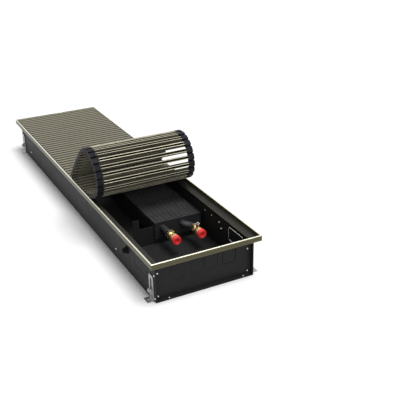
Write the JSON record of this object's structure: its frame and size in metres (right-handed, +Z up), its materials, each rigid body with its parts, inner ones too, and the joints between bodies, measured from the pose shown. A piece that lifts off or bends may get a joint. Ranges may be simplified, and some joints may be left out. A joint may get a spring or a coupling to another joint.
{
  "type": "trench convector heater",
  "caption": "Floor trench convector heater: steel trough with finned exchanger, capped pipe unions, adjustable feet and a metal bar grille that rolls back and lifts out.",
  "frame": {"origin": "middle of the trough's flat underside", "axes": "+X across the trough to the exchanger's side, +Y along the trough away from the pipe connections, +Z up to the grille"},
  "size_m": [0.2566, 1, 0.2162],
  "materials": {
    "frame_anodised": "satin bronze anodised",
    "grille_anodised": "satin champagne-bronze anodised",
    "casing_paint": "black powder coat, satin",
    "exchanger_black": "black coated, matt",
    "pipe_black": "black coated copper, satin",
    "brass_fittings": "turned, bright",
    "nickel_vent": "nickel plated",
    "red_caps": "moulded, semi-gloss",
    "zinc_feet": "zinc plated",
    "gland_rubber": "matt"
  },
  "bodies": {
    "casing": {"trough": "casing_paint", "end_plate_near": "casing_paint", "end_plate_far": "casing_paint", "frame_rail_left": "frame_anodised", "frame_rail_right": "frame_anodised", "frame_rail_near": "frame_anodised", "frame_rail_far": "frame_anodised", "fin_pack": "exchanger_black", "exchanger_header": "exchanger_black", "heating_tube": "pipe_black", "exchanger_support_near": "casing_paint", "exchanger_support_far": "casing_paint", "supply_fitting": "brass_fittings", "return_fitting": "brass_fittings", "air_vent_body": "nickel_vent", "cable_gland": "gland_rubber", "foot_bolt_near_left": "zinc_feet", "foot_bolt_near_right": "zinc_feet", "foot_bolt_far_left": "zinc_feet", "foot_bolt_far_right": "zinc_feet", "foot_nut_near_left": "zinc_feet", "foot_nut_near_right": "zinc_feet", "foot_nut_far_left": "zinc_feet", "foot_nut_far_right": "zinc_feet"},
    "grille": {"grille_flat": "grille_anodised"},
    "bar_01": {"grille_bar_01": "grille_anodised"},
    "bar_02": {"grille_bar_02": "grille_anodised"},
    "bar_03": {"grille_bar_03": "grille_anodised"},
    "bar_04": {"grille_bar_04": "grille_anodised"},
    "bar_05": {"grille_bar_05": "grille_anodised"},
    "bar_06": {"grille_bar_06": "grille_anodised"},
    "bar_07": {"grille_bar_07": "grille_anodised"},
    "bar_08": {"grille_bar_08": "grille_anodised"},
    "bar_09": {"grille_bar_09": "grille_anodised"},
    "bar_10": {"grille_bar_10": "grille_anodised"},
    "bar_11": {"grille_bar_11": "grille_anodised"},
    "bar_12": {"grille_bar_12": "grille_anodised"},
    "bar_13": {"grille_bar_13": "grille_anodised"},
    "bar_14": {"grille_bar_14": "grille_anodised"},
    "bar_15": {"grille_bar_15": "grille_anodised"},
    "bar_16": {"grille_bar_16": "grille_anodised"},
    "bar_17": {"grille_bar_17": "grille_anodised"},
    "bar_18": {"grille_bar_18": "grille_anodised"},
    "bar_19": {"grille_bar_19": "grille_anodised"},
    "bar_20": {"grille_bar_20": "grille_anodised"},
    "bar_21": {"grille_bar_21": "grille_anodised"},
    "bar_22": {"grille_bar_22": "grille_anodised"},
    "bar_23": {"grille_bar_23": "grille_anodised"},
    "bar_24": {"grille_bar_24": "grille_anodised"},
    "bar_25": {"grille_bar_25": "grille_anodised"},
    "foot_near_left": {"foot_bracket_near_left": "zinc_feet"},
    "foot_near_right": {"foot_bracket_near_right": "zinc_feet"},
    "foot_far_left": {"foot_bracket_far_left": "zinc_feet"},
    "foot_far_right": {"foot_bracket_far_right": "zinc_feet"},
    "supply_cap_body": {"supply_cap": "red_caps"},
    "return_cap_body": {"return_cap": "red_caps"},
    "supply_union_nut_body": {"supply_union_nut": "brass_fittings"},
    "return_union_nut_body": {"return_union_nut": "brass_fittings"},
    "air_vent_screw_body": {"air_vent_screw": "nickel_vent"}
  },
  "joints": [
    {"name": "grille_lift", "type": "slide", "parent": "casing", "child": "grille", "axis": [0, 0, 1], "range_m": [0, 0.06]},
    {"name": "roll_hinge_01", "type": "hinge", "parent": "grille", "child": "bar_01", "pos_m": [0, -0.096, 0.0925], "axis": [1, 0, 0], "range_deg": [0, 4.7]},
    {"name": "roll_hinge_02", "type": "hinge", "parent": "bar_01", "child": "bar_02", "pos_m": [0, -0.11195, 0.09381], "axis": [1, 0, 0], "range_deg": [0, 4.7]},
    {"name": "roll_hinge_03", "type": "hinge", "parent": "bar_02", "child": "bar_03", "pos_m": [0, -0.12773, 0.09642], "axis": [1, 0, 0], "range_deg": [0, 4.7]},
    {"name": "roll_hinge_04", "type": "hinge", "parent": "bar_03", "child": "bar_04", "pos_m": [0, -0.14325, 0.10032], "axis": [1, 0, 0], "range_deg": [0, 4.7]},
    {"name": "roll_hinge_05", "type": "hinge", "parent": "bar_04", "child": "bar_05", "pos_m": [0, -0.1584, 0.10548], "axis": [1, 0, 0], "range_deg": [0, 4.7]},
    {"name": "roll_hinge_06", "type": "hinge", "parent": "bar_05", "child": "bar_06", "pos_m": [0, -0.17307, 0.11186], "axis": [1, 0, 0], "range_deg": [0, 4.7]},
    {"name": "roll_hinge_07", "type": "hinge", "parent": "bar_06", "child": "bar_07", "pos_m": [0, -0.18717, 0.11942], "axis": [1, 0, 0], "range_deg": [0, 21.1]},
    {"name": "roll_hinge_08", "type": "hinge", "parent": "bar_07", "child": "bar_08", "pos_m": [0, -0.1976, 0.13155], "axis": [1, 0, 0], "range_deg": [0, 21.1]},
    {"name": "roll_hinge_09", "type": "hinge", "parent": "bar_08", "child": "bar_09", "pos_m": [0, -0.20297, 0.14662], "axis": [1, 0, 0], "range_deg": [0, 21.1]},
    {"name": "roll_hinge_10", "type": "hinge", "parent": "bar_09", "child": "bar_10", "pos_m": [0, -0.20255, 0.16262], "axis": [1, 0, 0], "range_deg": [0, 16.2]},
    {"name": "roll_hinge_11", "type": "hinge", "parent": "bar_10", "child": "bar_11", "pos_m": [0, -0.19769, 0.17786], "axis": [1, 0, 0], "range_deg": [0, 16.2]},
    {"name": "roll_hinge_12", "type": "hinge", "parent": "bar_11", "child": "bar_12", "pos_m": [0, -0.18876, 0.19114], "axis": [1, 0, 0], "range_deg": [0, 16.2]},
    {"name": "roll_hinge_13", "type": "hinge", "parent": "bar_12", "child": "bar_13", "pos_m": [0, -0.17649, 0.2014], "axis": [1, 0, 0], "range_deg": [0, 16.2]},
    {"name": "roll_hinge_14", "type": "hinge", "parent": "bar_13", "child": "bar_14", "pos_m": [0, -0.16184, 0.20783], "axis": [1, 0, 0], "range_deg": [0, 16.2]},
    {"name": "roll_hinge_15", "type": "hinge", "parent": "bar_14", "child": "bar_15", "pos_m": [0, -0.14597, 0.20992], "axis": [1, 0, 0], "range_deg": [0, 16.2]},
    {"name": "roll_hinge_16", "type": "hinge", "parent": "bar_15", "child": "bar_16", "pos_m": [0, -0.13016, 0.2075], "axis": [1, 0, 0], "range_deg": [0, 16.2]},
    {"name": "roll_hinge_17", "type": "hinge", "parent": "bar_16", "child": "bar_17", "pos_m": [0, -0.11565, 0.20077], "axis": [1, 0, 0], "range_deg": [0, 16.2]},
    {"name": "roll_hinge_18", "type": "hinge", "parent": "bar_17", "child": "bar_18", "pos_m": [0, -0.10359, 0.19025], "axis": [1, 0, 0], "range_deg": [0, 1]},
    {"name": "roll_hinge_19", "type": "hinge", "parent": "bar_18", "child": "bar_19", "pos_m": [0, -0.09172, 0.17952], "axis": [1, 0, 0], "range_deg": [0, 1]},
    {"name": "roll_hinge_20", "type": "hinge", "parent": "bar_19", "child": "bar_20", "pos_m": [0, -0.08003, 0.16859], "axis": [1, 0, 0], "range_deg": [0, 1]},
    {"name": "roll_hinge_21", "type": "hinge", "parent": "bar_20", "child": "bar_21", "pos_m": [0, -0.06854, 0.15745], "axis": [1, 0, 0], "range_deg": [0, 1]},
    {"name": "roll_hinge_22", "type": "hinge", "parent": "bar_21", "child": "bar_22", "pos_m": [0, -0.05725, 0.14612], "axis": [1, 0, 0], "range_deg": [0, 1]},
    {"name": "roll_hinge_23", "type": "hinge", "parent": "bar_22", "child": "bar_23", "pos_m": [0, -0.04616, 0.13459], "axis": [1, 0, 0], "range_deg": [0, 1]},
    {"name": "roll_hinge_24", "type": "hinge", "parent": "bar_23", "child": "bar_24", "pos_m": [0, -0.03526, 0.12287], "axis": [1, 0, 0], "range_deg": [0, 1]},
    {"name": "roll_hinge_25", "type": "hinge", "parent": "bar_24", "child": "bar_25", "pos_m": [0, -0.02458, 0.11096], "axis": [1, 0, 0], "range_deg": [0, 1]},
    {"name": "foot_height_near_left", "type": "slide", "parent": "casing", "child": "foot_near_left", "axis": [0, 0, -1], "range_m": [0, 0.024]},
    {"name": "foot_height_near_right", "type": "slide", "parent": "casing", "child": "foot_near_right", "axis": [0, 0, -1], "range_m": [0, 0.024]},
    {"name": "foot_height_far_left", "type": "slide", "parent": "casing", "child": "foot_far_left", "axis": [0, 0, -1], "range_m": [0, 0.024]},
    {"name": "foot_height_far_right", "type": "slide", "parent": "casing", "child": "foot_far_right", "axis": [0, 0, -1], "range_m": [0, 0.024]},
    {"name": "supply_cap_pull", "type": "slide", "parent": "casing", "child": "supply_cap_body", "axis": [0, -1, 0], "range_m": [0, 0.03]},
    {"name": "supply_union_nut_turn", "type": "hinge", "parent": "casing", "child": "supply_union_nut_body", "pos_m": [0.007, -0.307, 0.04], "axis": [0, -1, 0], "continuous": true},
    {"name": "return_cap_pull", "type": "slide", "parent": "casing", "child": "return_cap_body", "axis": [0, -1, 0], "range_m": [0, 0.03]},
    {"name": "return_union_nut_turn", "type": "hinge", "parent": "casing", "child": "return_union_nut_body", "pos_m": [0.07, -0.307, 0.04], "axis": [0, -1, 0], "continuous": true},
    {"name": "air_vent_turn", "type": "hinge", "parent": "casing", "child": "air_vent_screw_body", "pos_m": [0.07, -0.3185, 0.056], "axis": [0, 0, 1], "range_deg": [0, 360]}
  ]
}
